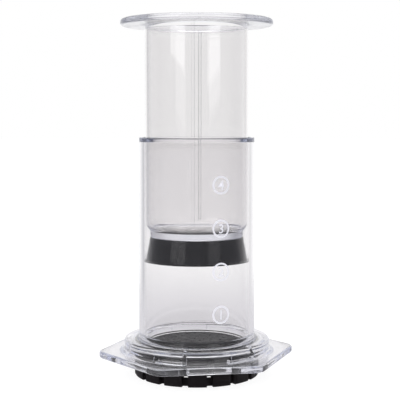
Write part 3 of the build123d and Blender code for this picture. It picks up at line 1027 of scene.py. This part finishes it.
gathered_light = make_gathered_light()
print("gathered light group with", len(gathered_light.nodes), "nodes")

# %% [markdown]
# Now the plastic itself. Its walls look nearly neutral, but where the eye looks along the plastic, at a rim
# or a flange edge, the long path through it turns bluish. So that colour isn't on the surface: a Volume
# Absorption node takes it out of the light along the way through.

# %% Clear plastic
COPOLYESTER_IOR = 1.56
DEPTH_COLOUR = (0.10, 0.28, 0.88, 1.0)
DEPTH_DENSITY = 2.1
SLANT_STARTS, SLANT_IS_FULL = 0.5, 0.85
FOOT_ZONE = {"Inner": 0.038, "Outer": 0.0505, "Low": 0.0101, "High": 0.0215}
PLATE_ZONE = {"Inner": -1.0, "Outer": 0.0276, "Low": 0.0815, "High": 0.090}
PUSH_FLANGE_SATIN = {"Satin_Radius": 0.0305, "Satin_Top": 0.1963}


def clear_plastic(title, waves, wave_height, glow, face_on, zone, satin):
    """Polished clear copolyester with the waves of its own mould, and satin where that is given.

    Its thick foot or end plate gathers light from all sides: zone gives the radii and heights in metres,
    and face_on is the share of that light that is left where the surface is seen face on.
    """
    material, tree, output = new_material(title)
    where = place(tree, "TexCoord").outputs["Object"]
    flow = feed(tree, place(tree, "Group", node_tree=mould_waves), where, Waves_Per_Metre=waves, **satin)
    bump = feed(tree, place(tree, "Bump"), Height=flow.outputs["Height"], Strength=1.0, Distance=wave_height)
    light = feed(tree, place(tree, "Group", node_tree=gathered_light), where, **zone)
    slant = feed(tree, place(tree, "LayerWeight"), Blend=0.5).outputs["Facing"]
    share = stretch(tree, slant, SLANT_STARTS, SLANT_IS_FULL, face_on, 1.0)
    surface = feed(
        tree,
        place(tree, "BsdfPrincipled"),
        Base_Color=flow.outputs["Tint"],
        Roughness=flow.outputs["Haze"],
        Normal=bump.outputs[0],
        IOR=COPOLYESTER_IOR,
        Transmission_Weight=1.0,
        Emission_Color=mix(tree, share, NO_LIGHT, light.outputs["Glow"]),
        Emission_Strength=glow,
    )
    depth = feed(tree, place(tree, "VolumeAbsorption"), Color=DEPTH_COLOUR, Density=DEPTH_DENSITY)
    feed(tree, output, Surface=surface.outputs[0], Volume=depth.outputs[0])
    return material


chamber_clear = clear_plastic(
    "chamber_clear", waves=70.0, wave_height=0.00004, glow=0.05, face_on=1.0, zone=FOOT_ZONE, satin={}
)
plunger_clear = clear_plastic(
    "plunger_clear",
    waves=110.0,
    wave_height=0.000015,
    glow=0.22,
    face_on=0.04,
    zone=PLATE_ZONE,
    satin=PUSH_FLANGE_SATIN,
)
print("clear plastic:", chamber_clear.name, plunger_clear.name)

# %% [markdown]
# Rubber and black plastic. Both are nearly black, but the seal is smooth and satin, while the cap has the
# fine grain that hides marks on moulded polypropylene. One group gives the grain to both, at its own scale.

# %% Fine grain
PATCHES_PER_METRE = 120.0
GRAIN_DETAIL, PATCH_DETAIL = 2.0, 3.0


def make_fine_grain():
    """Fine even grain: a height for the bump, and a mask that makes the surface patchy in gloss."""
    group, inner, outer = new_group(
        "fine_grain",
        [("Position", "Vector", (0, 0, 0)), ("Grains Per Metre", "Float", 3000.0)],
        [("Height", "Float"), ("Patches", "Float")],
    )
    spot, scale = inner.outputs["Position"], inner.outputs["Grains Per Metre"]
    fine, coarse = place(group, "TexNoise"), place(group, "TexNoise")
    grain = feed(group, fine, Vector=spot, Scale=scale, Detail=GRAIN_DETAIL)
    patches = feed(group, coarse, Vector=spot, Scale=PATCHES_PER_METRE, Detail=PATCH_DETAIL)
    feed(group, outer, Height=grain.outputs["Fac"], Patches=patches.outputs["Fac"])
    return group


fine_grain = make_fine_grain()
print("fine grain group with", len(fine_grain.nodes), "nodes")

# %% Black finishes
PATCHES_START, PATCHES_ARE_FULL = 0.3, 0.7


def black_finish(title, dark, pale, gloss, dull, grains, depth, specular):
    """A near-black moulded surface with grain, tone and gloss that vary a little."""
    material, tree, output = new_material(title)
    where = place(tree, "TexCoord").outputs["Object"]
    grain = feed(tree, place(tree, "Group", node_tree=fine_grain), where, Grains_Per_Metre=grains)
    patches = grain.outputs["Patches"]
    bump = feed(tree, place(tree, "Bump"), Height=grain.outputs["Height"], Strength=1.0, Distance=depth)
    surface = feed(
        tree,
        place(tree, "BsdfPrincipled"),
        Base_Color=mix(tree, patches, dark, pale),
        Roughness=stretch(tree, patches, PATCHES_START, PATCHES_ARE_FULL, gloss, dull),
        Normal=bump.outputs[0],
        Specular_IOR_Level=specular,
    )
    feed(tree, output, Surface=surface.outputs[0])
    return material


seal_rubber = black_finish(
    "seal_rubber",
    dark=(0.006, 0.005, 0.007, 1),
    pale=(0.011, 0.009, 0.012, 1),
    gloss=0.10,
    dull=0.16,
    grains=900.0,
    depth=0.000002,
    specular=0.4,
)
cap_black = black_finish(
    "cap_black",
    dark=(0.008, 0.006, 0.007, 1),
    pale=(0.014, 0.011, 0.012, 1),
    gloss=0.48,
    dull=0.62,
    grains=2600.0,
    depth=0.00002,
    specular=0.15,
)
print("black finishes:", seal_rubber.name, cap_black.name)

# %% [markdown]
# The ink. Screen ink is an opaque matt white that scatters light from inside its own layer, so it stays
# pale even where it has a bright wall behind it. A weak glow of its own colour stands for that.

# %% Ink
INK_THIN = (0.80, 0.80, 0.86, 1)
INK_THICK = (0.92, 0.92, 0.96, 1)
INK_SPECKS_PER_METRE, INK_SPECK_DETAIL = 1500.0, 2.0
INK_GLOW = 0.42
INK_ROUGHNESS = 0.6


def ink_white():
    """Matt white screen ink, a little thinner in places."""
    material, tree, output = new_material("ink_white")
    where = place(tree, "TexCoord").outputs["Object"]
    specks = place(tree, "TexNoise")
    cover = feed(tree, specks, Vector=where, Scale=INK_SPECKS_PER_METRE, Detail=INK_SPECK_DETAIL)
    tone = mix(tree, cover.outputs["Fac"], INK_THIN, INK_THICK)
    surface = feed(
        tree,
        place(tree, "BsdfPrincipled"),
        Base_Color=tone,
        Roughness=INK_ROUGHNESS,
        Emission_Color=tone,
        Emission_Strength=INK_GLOW,
    )
    feed(tree, output, Surface=surface.outputs[0])
    return material


ink = ink_white()
print("ink:", ink.name)

# %% [markdown]
# Each piece now gets its finish and the body that it moves with, and the CAD node that it stands for is
# hidden. The seal rides on the plunger, and the marks ride on the chamber that they are printed on. A ray
# through the press crosses many clear faces, and each crossing is a bounce, so it is allowed a lot of them.

# %% Finishes, bodies and nodes
LIGHT_STEPS = 48

for piece, material, body, node, slot in (
    (chamber, chamber_clear, "chamber", "chamber", "chamber_clear"),
    (plunger, plunger_clear, "plunger", "plunger", "plunger_clear"),
    (seal, seal_rubber, "plunger", "seal", "seal_rubber"),
    (cap, cap_black, "filter_cap", "filter_cap", "cap_black"),
):
    piece.data.materials.clear()
    piece.data.materials.append(material)
    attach(piece, body)
    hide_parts(node)
    print(piece.name, "stands for", node, "and moves with", body)
for mark in marks:
    mark.data.materials.append(ink)
    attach(mark, "chamber")
for bounces in ("max_bounces", "transmission_bounces", "glossy_bounces"):
    setattr(bpy.context.scene.cycles, bounces, LIGHT_STEPS)
